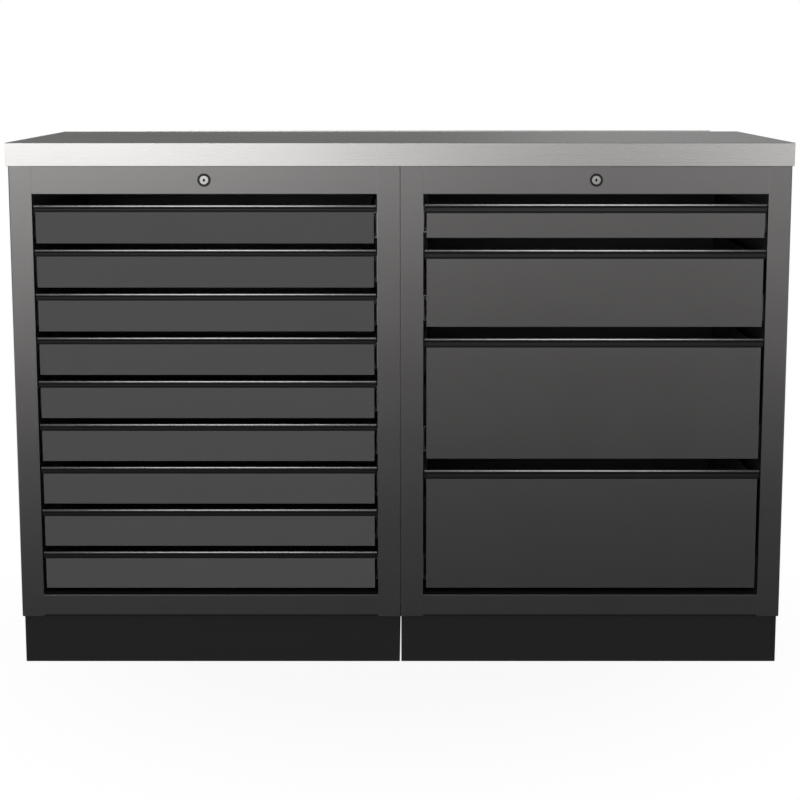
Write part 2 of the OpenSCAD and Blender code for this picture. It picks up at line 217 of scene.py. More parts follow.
# a CAD node's mesh as a new piece, merged and with its flat faces whole
def tidyCopy(node, name):
    obj = bpy.data.objects.new(name, frame["nodes"][node].data.copy())
    bpy.context.scene.collection.objects.link(obj)
    makeActive(obj)
    bpy.ops.object.mode_set(mode="EDIT")
    bpy.ops.mesh.select_all(action="SELECT")
    bpy.ops.mesh.remove_doubles(threshold=sameWithin)
    bpy.ops.mesh.dissolve_limited(angle_limit=math.radians(0.5))
    bpy.ops.object.mode_set(mode="OBJECT")
    return obj


# a UV map whose U follows the brushing: along the bench, and front to back on the end folds
def brushingMap(obj):
    layer = obj.data.uv_layers.new(name="brushing")
    for face in obj.data.polygons:
        for corner in face.loop_indices:
            x, y, z = obj.data.vertices[obj.data.loops[corner].vertex_index].co
            layer.data[corner].uv = (y, z) if abs(face.normal.x) > 0.8 else (x, y + z)


def finished(obj, body, nodes, material):
    makeActive(obj)
    bpy.ops.object.shade_smooth_by_angle(angle=math.radians(40))
    weighted = obj.modifiers.new("weighted normals", "WEIGHTED_NORMAL")
    weighted.keep_sharp = True
    weighted.weight = 100
    applyAll(obj)
    obj.data.materials.clear()
    obj.data.materials.append(material)
    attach(obj, body)
    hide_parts(*nodes)


def keptCad(node, material):  # a CAD node that is shown as it is, under a material made here
    frame["nodes"][node].data.materials.clear()
    frame["nodes"][node].data.materials.append(material)


def facing(axis, sign):  # a test for faces that look along an axis
    return lambda face: face.normal[axis] * sign > 0.9


texture = {
    # patterns in cells to the metre, widths and depths in metres, the rest in shares
    "mottle": 9.0,
    "mottleTone": 0.03,
    "mottleShine": 0.015,
    "wornWidth": 0.0012,
    "wornPatches": 60.0,
    "wornContrast": 5.0,
    "wornFill": 0.2,
    "clouds": 3.5,
    "brushedShine": 0.08,
    "brushDepth": 0.00001,
}


def newGroup(name, inputs, outputs):
    group = bpy.data.node_groups.new(name, "ShaderNodeTree")
    for label, kind, value in inputs:
        group.interface.new_socket(label, in_out="INPUT", socket_type=kind).default_value = value
    for label, kind in outputs:
        group.interface.new_socket(label, in_out="OUTPUT", socket_type=kind)
    return group, group.nodes.new("NodeGroupInput"), group.nodes.new("NodeGroupOutput")


def mathNode(tree, operation, first, second=None, clamp=False):
    node = tree.nodes.new("ShaderNodeMath")
    node.operation = operation
    node.use_clamp = clamp
    for socket, value in zip(node.inputs, (first, second)):
        if value is None:
            continue
        if isinstance(value, (int, float)):
            socket.default_value = value
        else:
            tree.links.new(value, socket)
    return node.outputs[0]


def noiseNode(tree, vector, scale, detail, roughness):
    node = tree.nodes.new("ShaderNodeTexNoise")
    node.inputs["Detail"].default_value = detail
    node.inputs["Roughness"].default_value = roughness
    tree.links.new(vector, node.inputs["Vector"])
    if isinstance(scale, (int, float)):
        node.inputs["Scale"].default_value = scale
    else:
        tree.links.new(scale, node.inputs["Scale"])
    return node.outputs["Fac"]


# powder coat: fine orange peel for the bump, slow mottle for colour and gloss
def coatGroup():
    group, inside, out = newGroup("powderCoat", [("Peel Scale", "NodeSocketFloat", 900.0)],
                                  [("Peel", "NodeSocketFloat"), ("Mottle", "NodeSocketFloat")])
    place = group.nodes.new("ShaderNodeTexCoord").outputs["Object"]
    peel = noiseNode(group, place, inside.outputs["Peel Scale"], 3.0, 0.6)
    mottle = noiseNode(group, place, texture["mottle"], 4.0, 0.6)
    group.links.new(peel, out.inputs["Peel"])
    group.links.new(mottle, out.inputs["Mottle"])
    return group


# a mask of worn edges, from the difference between the plain and the rounded normal
def edgeGroup():
    group, inside, out = newGroup("edgeWear", [("Width", "NodeSocketFloat", texture["wornWidth"]),
                                               ("Breakup", "NodeSocketFloat", texture["wornPatches"])],
                                  [("Mask", "NodeSocketFloat")])
    bevel = group.nodes.new("ShaderNodeBevel")
    bevel.samples = 4
    group.links.new(inside.outputs["Width"], bevel.inputs["Radius"])
    plain = group.nodes.new("ShaderNodeNewGeometry").outputs["Normal"]
    dot = group.nodes.new("ShaderNodeVectorMath")
    dot.operation = "DOT_PRODUCT"
    group.links.new(bevel.outputs["Normal"], dot.inputs[0])
    group.links.new(plain, dot.inputs[1])
    away = mathNode(group, "SUBTRACT", 1.0, dot.outputs["Value"])
    edge = mathNode(group, "MULTIPLY", away, texture["wornContrast"], clamp=True)
    place = group.nodes.new("ShaderNodeTexCoord").outputs["Object"]
    patches = noiseNode(group, place, inside.outputs["Breakup"], 4.0, 0.65)
    solid = mathNode(group, "ADD", patches, texture["wornFill"], clamp=True)
    broken = mathNode(group, "MULTIPLY", edge, solid)
    group.links.new(broken, out.inputs["Mask"])
    return group


# brushing that runs along the bench: fine streaks, and broad clouds of more and less shine
def brushGroup():
    group, inside, out = newGroup("brushing", [("Streaks", "NodeSocketFloat", 420.0),
                                               ("Length", "NodeSocketFloat", 3.0)],
                                  [("Streak", "NodeSocketFloat"), ("Cloud", "NodeSocketFloat")])
    place = group.nodes.new("ShaderNodeTexCoord").outputs["Object"]
    stretch = group.nodes.new("ShaderNodeCombineXYZ")
    group.links.new(inside.outputs["Length"], stretch.inputs["X"])
    group.links.new(inside.outputs["Streaks"], stretch.inputs["Y"])
    group.links.new(inside.outputs["Streaks"], stretch.inputs["Z"])
    scaled = group.nodes.new("ShaderNodeVectorMath")
    scaled.operation = "MULTIPLY"
    group.links.new(place, scaled.inputs[0])
    group.links.new(stretch.outputs["Vector"], scaled.inputs[1])
    streak = noiseNode(group, scaled.outputs["Vector"], 1.0, 4.0, 0.7)
    cloud = noiseNode(group, place, texture["clouds"], 3.0, 0.5)
    group.links.new(streak, out.inputs["Streak"])
    group.links.new(cloud, out.inputs["Cloud"])
    return group


groups = {"coat": coatGroup(), "edge": edgeGroup(), "brush": brushGroup()}


def newMaterial(name):
    material = bpy.data.materials.new(name)
    material.use_nodes = True
    tree = material.node_tree
    return material, tree, tree.nodes["Principled BSDF"]


def groupNode(tree, key, **values):
    node = tree.nodes.new("ShaderNodeGroup")
    node.node_tree = groups[key]
    for label, value in values.items():
        node.inputs[label].default_value = value
    return node


def mixColour(tree, fac, first, second):
    node = tree.nodes.new("ShaderNodeMix")
    node.data_type = "RGBA"
    tree.links.new(fac, node.inputs["Factor"])
    for socket, value in ((node.inputs["A"], first), (node.inputs["B"], second)):
        if isinstance(value, tuple):
            socket.default_value = (*value, 1)
        else:
            tree.links.new(value, socket)
    return node.outputs["Result"]


def spread(tree, value, low, high):
    node = tree.nodes.new("ShaderNodeMapRange")
    node.inputs["To Min"].default_value = low
    node.inputs["To Max"].default_value = high
    tree.links.new(value, node.inputs["Value"])
    return node.outputs["Result"]


def bump(tree, shader, height, depth):
    node = tree.nodes.new("ShaderNodeBump")
    node.inputs["Distance"].default_value = depth
    node.inputs["Strength"].default_value = 1.0
    tree.links.new(height, node.inputs["Height"])
    tree.links.new(node.outputs["Normal"], shader.inputs["Normal"])


def paintMaterial(name, colour, worn, metallic, roughness, specular, peel, peelDepth):
    material, tree, shader = newMaterial(name)
    coat = groupNode(tree, "coat", **{"Peel Scale": peel})
    edge = groupNode(tree, "edge")
    tone, shine = texture["mottleTone"], texture["mottleShine"]
    darker = tuple((1 - tone) * c for c in colour)
    lighter = tuple((1 + tone) * c for c in colour)
    body = mixColour(tree, coat.outputs["Mottle"], darker, lighter)
    tree.links.new(mixColour(tree, edge.outputs["Mask"], body, worn), shader.inputs["Base Color"])
    rough = spread(tree, coat.outputs["Mottle"], roughness - shine, roughness + shine)
    tree.links.new(rough, shader.inputs["Roughness"])
    shader.inputs["Metallic"].default_value = metallic
    shader.inputs["Specular IOR Level"].default_value = specular
    bump(tree, shader, coat.outputs["Peel"], peelDepth)
    return material


# lets the shine run across the brushing, by the UV map made for it
def shineAcross(tree, shader, anisotropy):
    shader.inputs["Anisotropic"].default_value = anisotropy
    shader.inputs["Anisotropic Rotation"].default_value = 0.25
    tangent = tree.nodes.new("ShaderNodeTangent")
    tangent.direction_type = "UV_MAP"
    tangent.uv_map = "brushing"
    tree.links.new(tangent.outputs["Tangent"], shader.inputs["Tangent"])


def brushedMaterial(name, dark, light, roughness, anisotropy, streaks, length):
    material, tree, shader = newMaterial(name)
    brush = groupNode(tree, "brush", Streaks=streaks, Length=length)
    shader.inputs["Metallic"].default_value = 1.0
    tree.links.new(mixColour(tree, brush.outputs["Streak"], dark, light), shader.inputs["Base Color"])
    halfStreak = mathNode(tree, "MULTIPLY", brush.outputs["Streak"], 0.5)
    blend = mathNode(tree, "ADD", halfStreak, mathNode(tree, "MULTIPLY", brush.outputs["Cloud"], 0.5))
    rough = spread(tree, blend, roughness - texture["brushedShine"], roughness + texture["brushedShine"])
    tree.links.new(rough, shader.inputs["Roughness"])
    bump(tree, shader, brush.outputs["Streak"], texture["brushDepth"])
    if anisotropy:
        shineAcross(tree, shader, anisotropy)
    return material


def anodisedMaterial():
    material, tree, shader = newMaterial("blackAnodised")
    brush = groupNode(tree, "brush", Streaks=anodised["streaks"], Length=anodised["length"])
    edge = groupNode(tree, "edge")
    body = mixColour(tree, brush.outputs["Streak"], anodised["dark"], anodised["light"])
    tree.links.new(mixColour(tree, edge.outputs["Mask"], body, anodised["worn"]), shader.inputs["Base Color"])
    tree.links.new(spread(tree, brush.outputs["Streak"], *anodised["roughness"]), shader.inputs["Roughness"])
    shader.inputs["Specular IOR Level"].default_value = anodised["specular"]
    shineAcross(tree, shader, anodised["anisotropy"])
    bump(tree, shader, brush.outputs["Streak"], anodised["depth"])
    return material


def boardMaterial():
    material, tree, shader = newMaterial("particleBoard")
    place = tree.nodes.new("ShaderNodeTexCoord").outputs["Object"]
    chips = noiseNode(tree, place, wood["chips"], 5.0, 0.7)
    tree.links.new(mixColour(tree, chips, wood["dark"], wood["light"]), shader.inputs["Base Color"])
    tree.links.new(spread(tree, chips, *wood["roughness"]), shader.inputs["Roughness"])
    bump(tree, shader, chips, wood["depth"])
    return material


paintFinish = {
    # name: (colour, worn edge, metallic, roughness, specular, peel scale, peel depth)
    "framePaint": ((0.216, 0.209, 0.207), (0.3, 0.3, 0.3), 0.9, 0.28, 0.5, 900.0, 0.00001),
    # the next two are copies of one front paint tuned to the light: a matt copy for fronts that look evenly
    # lit, a glossy copy for fronts that shade darker downwards
    "evenlyLitFrontPaint": ((0.104, 0.104, 0.104), (0.16, 0.16, 0.16), 0.0, 0.65, 0.2, 900.0, 0.00001),
    "sheenLitFrontPaint": ((0.149, 0.145, 0.143), (0.2, 0.2, 0.2), 0.8, 0.33, 0.3, 900.0, 0.00001),
    "plinthPaint": ((0.017, 0.017, 0.017), (0.03, 0.03, 0.03), 0.0, 0.6, 0.25, 900.0, 0.00001),
    "trayPaint": ((0.07, 0.07, 0.07), (0.12, 0.12, 0.12), 0.3, 0.5, 0.4, 900.0, 0.00001),
    "blackChromate": ((0.012, 0.012, 0.012), (0.1, 0.1, 0.1), 0.0, 0.4, 0.3, 2500.0, 0.000008),
    "keywayShadow": ((0.004, 0.004, 0.004), (0.01, 0.01, 0.01), 0.0, 0.7, 0.1, 2500.0, 0.000008),
}
brushedFinish = {
    # name: (dark streak, light streak, roughness, anisotropy, streaks, length)
    "brushedStainless": ((0.56, 0.55, 0.54), (0.66, 0.65, 0.64), 0.27, 0.7, 420.0, 3.0),
    "brightZinc": ((0.52, 0.53, 0.55), (0.66, 0.67, 0.69), 0.3, 0.0, 300.0, 40.0),
    "satinNickel": ((0.4, 0.4, 0.39), (0.54, 0.54, 0.53), 0.25, 0.0, 1800.0, 1800.0),
}
anodised = {
    "dark": (0.008, 0.008, 0.008),
    "light": (0.016, 0.016, 0.016),
    "worn": (0.03, 0.03, 0.031),
    "roughness": (0.28, 0.31),
    "specular": 0.2,
    "anisotropy": 0.6,
    "streaks": 1500.0,
    "length": 6.0,
    "depth": 0.000001,
}
wood = {
    "dark": (0.30, 0.19, 0.10),
    "light": (0.56, 0.42, 0.27),
    "roughness": (0.7, 0.9),
    "chips": 260.0,
    "depth": 0.0003,
}
paints = {name: paintMaterial(name, *values) for name, values in paintFinish.items()}
metals = {name: brushedMaterial(name, *values) for name, values in brushedFinish.items()}
stainless, zinc, nickel = metals["brushedStainless"], metals["brightZinc"], metals["satinNickel"]
gripBlack = anodisedMaterial()
board = boardMaterial()
print("materials made")


worktop = {
    "sheet": 0.0015,
    "frontBend": 0.0018,
    "cornerBend": 0.0012,
    "softEdge": 0.0003,
    "hem": 0.007,
    "lipHeight": 0.002,
    "lipStop": 0.056,
}


def makeWorktop():
    low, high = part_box("worktop_skin")
    flatTop = high.z - worktop["lipHeight"]
    lipEnd = high.x - worktop["lipStop"]
    skin = addBox("worktopSkin", low, (high.x, high.y, flatTop))
    removeFaces(skin, facing(2, -1))
    extrude(skin, lambda e: e.is_boundary and at(e, 1, low.y), (0, worktop["hem"], 0), "EDGE")
    roundEdges(skin, lambda e: at(e, 1, low.y) and at(e, 2, flatTop), worktop["frontBend"], 6)
    roundEdges(skin, lambda e: folded(e) and rise(e, 0) < sameWithin and (at(e, 0, low.x) or at(e, 0, high.x))
               and (at(e, 1, low.y) or at(e, 2, flatTop)), worktop["cornerBend"], 3)
    thicken(skin, worktop["sheet"])
    # the lip stands on the top's back edge and stops short of the right-hand end
    cut(skin, (lipEnd, 0, 0), (1, 0, 0))
    cut(skin, (0, high.y - worktop["sheet"], 0), (0, 1, 0))
    extrude(skin, lambda f: f.normal.z > 0.99 and middle(f).z > flatTop - sameWithin and middle(f).x < lipEnd
            and middle(f).y > high.y - worktop["sheet"], (0, 0, worktop["lipHeight"]))
    softenEdges(skin, worktop["softEdge"], 1, 50)
    brushingMap(skin)
    finished(skin, "frame", ["worktop_skin"], stainless)


makeWorktop()
keptCad("worktop_core", board)
print("worktop made")


cabinet = {
    "sheet": 0.0012,
    "bend": 0.0012,
    "outerBend": 0.0032,
    "innerBend": 0.0006,
    "bottomBend": 0.0045,
    "frontFold": 0.025,
    "lipDrop": 0.01,
    "plinthSheet": 0.002,
    "plinthFlange": 0.025,
}
joining = next(m for m in frame["record"]["mounts"] if m["name"] == "left_end_joining_holes")


# one cutter with a drill for each joining hole, through a side wall
def joiningHoles(low, high):
    dims = joining["dims"]
    drills = []
    for dy in (-0.5, 0.5):
        for dz in (-0.5, 0.5):
            centre = ((low.x + high.x) / 2, joining["pos_m"][1] + dy * dims["spacing_x_mm"] / 1000,
                      joining["pos_m"][2] + dz * dims["spacing_y_mm"] / 1000)
            drills.append(addRod("drill", "x", centre, dims["hole_r_mm"] / 1000, 2 * (high.x - low.x), 24))
    return joinAll("drills", drills)


def makeSideWall(side, hand):
    node = f"{side}_cabinet_{hand}_side"
    low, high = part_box(node)
    wall = addBox(f"{side}Cabinet_{hand}Wall", low, high)
    outerX = low.x if hand == "left" else high.x
    bend = cabinet["outerBend"] if side == hand else cabinet["innerBend"]
    roundEdges(wall, lambda e: at(e, 0, outerX) and rise(e, 2) > (high.z - low.z) / 2, bend, 5)
    softenEdges(wall, cabinet["innerBend"], 2)
    combine(wall, joiningHoles(low, high), "DIFFERENCE")
    finished(wall, "frame", [node], paints["framePaint"])


def makeTopRail(side):
    node = f"{side}_cabinet_top_rail"
    low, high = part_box(node)
    rail = addBox(f"{side}Cabinet_topRail", low, high)
    removeFaces(rail, lambda f: f.normal.y > 0.9 or abs(f.normal.x) > 0.9)
    roundEdges(rail, folded, cabinet["bend"], 3)
    thicken(rail, cabinet["sheet"])
    centre = lockPlace(side)
    hole = addRod("hole", "y", (centre.x, low.y, centre.z), lock["holeDia"] / 2, lock["drillLength"], 48)
    combine(rail, hole, "DIFFERENCE")
    finished(rail, "frame", [node], paints["framePaint"])


def makeFloor(side):
    node = f"{side}_cabinet_floor"
    low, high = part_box(node)
    fold = low.y + cabinet["frontFold"]
    # the bottom rail folds back into the pan below and into a short lip above
    pan = addBox(f"{side}Cabinet_floor", low, (high.x, fold, high.z))
    removeFaces(pan, lambda f: f.normal.y > 0.9 or abs(f.normal.x) > 0.9)
    extrude(pan, lambda e: e.is_boundary and at(e, 1, fold) and at(e, 2, low.z),
            (0, high.y - fold, 0), "EDGE")
    extrude(pan, lambda e: e.is_boundary and at(e, 1, fold) and at(e, 2, high.z),
            (0, 0, -cabinet["lipDrop"]), "EDGE")
    roundEdges(pan, lambda e: at(e, 1, low.y) and at(e, 2, low.z), cabinet["bottomBend"], 4)
    roundEdges(pan, lambda e: folded(e) and at(e, 2, high.z) and rise(e, 1) < sameWithin,
               cabinet["bend"] / 2, 3)
    thicken(pan, cabinet["sheet"])
    finished(pan, "frame", [node], paints["framePaint"])


def makePlinth(side):
    node = f"{side}_cabinet_plinth"
    low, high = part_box(node)
    base = addBox(f"{side}Cabinet_plinth", low, high)
    # an open frame with a flange around its top and bottom
    pick(base, "FACE", lambda f: abs(f.normal.z) > 0.9)
    bpy.ops.mesh.inset(thickness=cabinet["plinthFlange"], use_individual=True)
    bpy.ops.mesh.delete(type="FACE")
    bpy.ops.object.mode_set(mode="OBJECT")
    roundEdges(base, lambda e: folded(e) and e.calc_face_angle(0) > math.radians(80), cabinet["bend"], 3)
    thicken(base, cabinet["plinthSheet"])
    finished(base, "frame", [node], paints["plinthPaint"])


def makeBack(side):
    node = f"{side}_cabinet_back_panel"
    finished(tidyCopy(node, f"{side}Cabinet_back"), "frame", [node], paints["framePaint"])


lock = {
    "holeDia": 0.01924,
    "drillLength": 0.02,
    "ringDia": 0.023,
    "ringProud": 0.0015,
    "ringClearance": 0.00012,
    "ringSoftEdge": 0.0004,
    "housingLength": 0.0215,
    "barrelDia": 0.015,
    "barrelPlay": 0.00008,
    "barrelProud": 0.0012,
    "barrelSoftEdge": 0.0003,
    "boreLength": 0.08,
    "nutDia": 0.0274,
    "nutBore": 0.0192,
    "nutHeight": 0.004,
    "keyRadius": 0.0034,
    "keyDepth": 0.006,
    "keyCorner": 0.0006,
    "keySoftEdge": 0.0001,
    "keyProud": 0.00005,
}


def lockPlace(side):
    low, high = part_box(f"{side}_cabinet_lock_barrel")
    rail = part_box(f"{side}_cabinet_top_rail")
    return Vector(((low.x + high.x) / 2, rail[0].y, (rail[0].z + rail[1].z) / 2))


def makeHousing(side, centre):
    ring = addRod(f"{side}Lock_housing", "y", (centre.x, centre.y - lock["ringProud"] / 2, centre.z),
                  lock["ringDia"] / 2, lock["ringProud"], 64)
    extrude(ring, facing(1, 1), (0, 0, 0))
    pick(ring, "FACE", facing(1, 1))
    bpy.ops.mesh.inset(thickness=(lock["ringDia"] - lock["holeDia"]) / 2 + lock["ringClearance"])
    bpy.ops.object.mode_set(mode="OBJECT")
    # the inset face goes on through the rail as the housing
    extrude(ring, lambda f: f.normal.y > 0.9 and max(math.hypot(v.co.x - centre.x, v.co.z - centre.z)
            for v in f.verts) < lock["holeDia"] / 2, (0, lock["housingLength"] - lock["ringProud"], 0))
    bore = addRod("bore", "y", centre, lock["barrelDia"] / 2 + lock["barrelPlay"], lock["boreLength"], 64)
    combine(ring, bore, "DIFFERENCE")
    softenEdges(ring, lock["ringSoftEdge"], 3)
    nut = addRod("nut", "y", (centre.x, centre.y + cabinet["sheet"] + lock["nutHeight"] / 2, centre.z),
                 lock["nutDia"] / 2, lock["nutHeight"], 6)
    combine(nut, addRod("hole", "y", centre, lock["nutBore"] / 2, lock["boreLength"], 48), "DIFFERENCE")
    ring = joinAll(f"{side}Lock_housing", [ring, nut])
    finished(ring, "frame", ["lock_housings"], paints["blackChromate"])


def makeBarrel(side, centre):
    node = f"{side}_cabinet_lock_barrel"
    shaft = tidyCopy(node, f"{side}Lock_barrel")
    softenEdges(shaft, lock["barrelSoftEdge"], 2, 50)
    finished(shaft, f"{side}_lock", [node], nickel)
    # a near-black solid set just behind the barrel's face stands for the keyhole: painted shade for the dark
    # inside of the keyway
    keyY = centre.y - lock["barrelProud"] + lock["keyDepth"] / 2 - lock["keyProud"]
    keywayShade = addRod(f"{side}Lock_keyhole", "y", (centre.x, keyY, centre.z),
                     lock["keyRadius"], lock["keyDepth"], 3)
    pick(keywayShade, "EDGE", lambda e: rise(e, 1) > lock["keyDepth"] / 2)
    bpy.ops.mesh.bevel(offset=lock["keyCorner"], segments=2, affect="EDGES")
    bpy.ops.object.mode_set(mode="OBJECT")
    softenEdges(keywayShade, lock["keySoftEdge"], 1)
    finished(keywayShade, f"{side}_lock", [node], paints["keywayShadow"])


def makeLockBar(side):
    node = f"{side}_cabinet_lock_bar"
    bar = tidyCopy(node, f"{side}Lock_bar")
    softenEdges(bar, lock["barrelSoftEdge"], 1, 50)
    finished(bar, f"{side}_lock_bar", [node], zinc)


for side in sides:
    for hand in sides:
        makeSideWall(side, hand)
    makeTopRail(side)
    makeFloor(side)
    makePlinth(side)
    makeBack(side)
    makeHousing(side, lockPlace(side))
    makeBarrel(side, lockPlace(side))
    makeLockBar(side)
print("cabinets and locks made")


drawer = {
    # each cabinet's fronts get their own lit copy of the front paint: evenly lit on the left, shading darker
    # downwards on the right
    "frontPaint": {"left": "evenlyLitFrontPaint", "right": "sheenLitFrontPaint"},
    "sheet": 0.0012,
    "edge": 0.0005,
    "gap": 0.0058,
    "setback": 0.0005,
    "fold": 0.02,
    "trayRise": 0.004,
    "traySheet": 0.001,
    "softEdge": 0.0003,
    "hem": 0.0026,
    "hemDepth": 0.009,
    "hemStep": 0.0004,
    "slotWidth": 0.0022,
    "slotPitch": 0.05,
    "slotFrom": 0.25,
    "slotBelowHem": 0.003,
    "runner": 0.0127,
    "runnerSheet": 0.0012,
    "runnerRise": 0.03,
    "runnerBend": 0.0009,
    "webPlay": 0.004,
    "flangePlay": 0.0016,
    "steelSoftEdge": 0.0004,
    "catchWidth": 0.016,
    "catchSheet": 0.002,
    "catchDrop": 0.011,
    "catchBelowTop": 0.012,
}
grip = {
    "nose": 0.007,
    "noseForward": 0.001,
    "wall": 0.0018,
    "depth": 0.026,
    "troughDrop": 0.01,
    "hook": 0.004,
    "footGap": 0.0003,
    "footSlope": 0.0011,
    "slopeHeight": 0.0034,
    "softEdge": 0.0004,
}


# left and right edges of a cabinet's opening, and the plane of its posts' faces
def openingOf(side):
    leftPost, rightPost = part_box(f"{side}_cabinet_left_side"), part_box(f"{side}_cabinet_right_side")
    return leftPost[1].x, rightPost[0].x, leftPost[0].y


def makeFront(side, name, low, high):
    left, right, face = openingOf(side)
    front = addBox(name, (left + drawer["gap"], face + drawer["setback"], low),
                   (right - drawer["gap"], face + drawer["setback"] + drawer["fold"], high))
    removeFaces(front, lambda f: f.normal.y > 0.9 or f.normal.z > 0.9)
    roundEdges(front, folded, drawer["edge"], 3)
    thicken(front, drawer["sheet"])
    softenEdges(front, drawer["softEdge"], 1, 60)
    return front


def makeTray(side, name, low, high, back):
    left, right, face = openingOf(side)
    left += drawer["runner"]
    right -= drawer["runner"]
    near = face + drawer["setback"] + grip["depth"]
    bottom = low + drawer["sheet"]
    top = high + drawer["trayRise"]
    tray = addBox(name, (left, near, bottom), (right, back, top))
    # the box is hollowed from above, with a rolled rim and then single-sheet walls
    pick(tray, "FACE", facing(2, 1))
    bpy.ops.mesh.inset(thickness=drawer["hem"])
    bpy.ops.mesh.extrude_region_move(TRANSFORM_OT_translate={"value": (0, 0, -drawer["hemDepth"])})
    wide = (right - left - 2 * drawer["traySheet"]) / (right - left - 2 * drawer["hem"])
    deep = (back - near - 2 * drawer["traySheet"]) / (back - near - 2 * drawer["hem"])
    bpy.ops.mesh.extrude_region_move(TRANSFORM_OT_translate={"value": (0, 0, -drawer["hemStep"])})
    centre = ((left + right) / 2, (near + back) / 2, top)
    bpy.ops.transform.resize(value=(wide, deep, 1), center_override=centre)
    drop = top - drawer["hemDepth"] - drawer["hemStep"] - bottom - drawer["traySheet"]
    bpy.ops.mesh.extrude_region_move(TRANSFORM_OT_translate={"value": (0, 0, -drop)})
    bpy.ops.object.mode_set(mode="OBJECT")
    # a row of slots for partitions, through both side walls
    slotLow = bottom + drawer["slotFrom"] * (top - bottom)
    slotHigh = top - drawer["hemDepth"] - drawer["slotBelowHem"]
    slotNear = near + drawer["slotPitch"] / 2
    slots = addBox("slots", (left - drawer["runner"], slotNear, slotLow),
                   (right + drawer["runner"], slotNear + drawer["slotWidth"], slotHigh))
    row = slots.modifiers.new("row", "ARRAY")
    row.count = int((back - near) / drawer["slotPitch"])
    row.use_relative_offset = False
    row.use_constant_offset = True
    row.constant_offset_displace = (0, drawer["slotPitch"], 0)
    applyAll(slots)
    combine(tray, slots, "DIFFERENCE")
    softenEdges(tray, drawer["softEdge"], 1, 50)
    shelf = addBox("shelf", (left, face + drawer["setback"] + drawer["sheet"], bottom),
                   (right, near, bottom + drawer["traySheet"]))
    hookZ = high - drawer["catchBelowTop"]
    return joinAll(name, [tray, shelf, makeCatch((left + right) / 2, back, hookZ)])


def makeCatch(x, back, z):
    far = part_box("left_drawer_1_box")[1].y
    half = drawer["catchWidth"] / 2
    sheet = drawer["catchSheet"]
    catch = addBox("catch", (x - half, back, z), (x + half, far, z + sheet))
    cut(catch, (x, far - sheet, z), (0, 1, 0))
    extrude(catch, lambda f: f.normal.z < -0.9 and middle(f).y > far - sheet, (0, 0, -drawer["catchDrop"]))
    softenEdges(catch, drawer["steelSoftEdge"], 2)
    return catch


# the two runner members on a tray's sides: channels that open towards the cabinet
def makeRunners(side, name, low, middleRails):
    left, right = openingOf(side)[:2]
    near, far = middleRails[0].y, middleRails[1].y
    wall = left + drawer["runner"]
    z = low + drawer["runnerRise"]
    half = (middleRails[1].z - middleRails[0].z) / 2 - drawer["runnerSheet"] - drawer["flangePlay"]
    one = addBox(name, (left + drawer["webPlay"], near, z - half), (wall, far, z + half))
    removeFaces(one, lambda f: f.normal.x < -0.9 or abs(f.normal.y) > 0.9)
    roundEdges(one, folded, drawer["runnerBend"], 3)
    thicken(one, drawer["runnerSheet"])
    return joinAll(name, [one, mirrored(one, "other", (left + right) / 2)])


def makeGrip(side, name, node):
    left, right, face = openingOf(side)
    low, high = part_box(node)
    face += drawer["setback"]
    frontTop = low.z + grip["troughDrop"]
    noseZ = high.z - grip["nose"] / 2
    wallY = face + drawer["sheet"]
    rear = face + grip["depth"]
    foot = (right - left) / 2 - drawer["gap"] - drawer["sheet"] - grip["footGap"]
    tray = (right - left) / 2 - drawer["runner"]
    x = (left + right) / 2
    body = addBox(name, (low.x, wallY, frontTop), (high.x, wallY + grip["wall"], noseZ))
    for edgeX in (x - foot, x + foot, x - tray, x + tray):
        cut(body, (edgeX, 0, 0), (1, 0, 0))
    cut(body, (0, 0, frontTop + grip["slopeHeight"]), (0, 0, 1))
    # the wall goes down to a trough for the fingers, up again at its back, and hooks over the tray's rim
    extrude(body, lambda f: f.normal.z < -0.9 and abs(middle(f).x - x) < foot, (0, 0, -grip["troughDrop"]))
    cut(body, (0, 0, low.z + grip["wall"]), (0, 0, 1))
    extrude(body, lambda f: f.normal.y > 0.9 and middle(f).z < low.z + grip["wall"],
            (0, rear - wallY - grip["wall"], 0))
    cut(body, (0, rear - grip["wall"], 0), (0, 1, 0))
    hookZ = frontTop + drawer["trayRise"]
    extrude(body, lambda f: f.normal.z > 0.9 and middle(f).y > rear - grip["wall"]
            and abs(middle(f).x - x) < tray, (0, 0, hookZ - low.z))
    cut(body, (0, 0, hookZ), (0, 0, 1))
    extrude(body, lambda f: f.normal.y > 0.9 and middle(f).z > hookZ and at(f, 1, rear), (0, grip["hook"], 0))
    # the wall's foot leans back, behind the front sheet's top edge
    pick(body, "VERT", lambda v: v.co.y < wallY + sameWithin and v.co.z < frontTop + sameWithin)
    bpy.ops.transform.translate(value=(0, grip["footSlope"], 0))
    bpy.ops.object.mode_set(mode="OBJECT")
    nose = addRod("nose", "x", (x, face - grip["noseForward"] + grip["nose"] / 2, noseZ),
                  grip["nose"] / 2, high.x - low.x, 32)
    combine(body, nose, "UNION")
    softenEdges(body, grip["softEdge"], 2, 50)
    brushingMap(body)
    return body


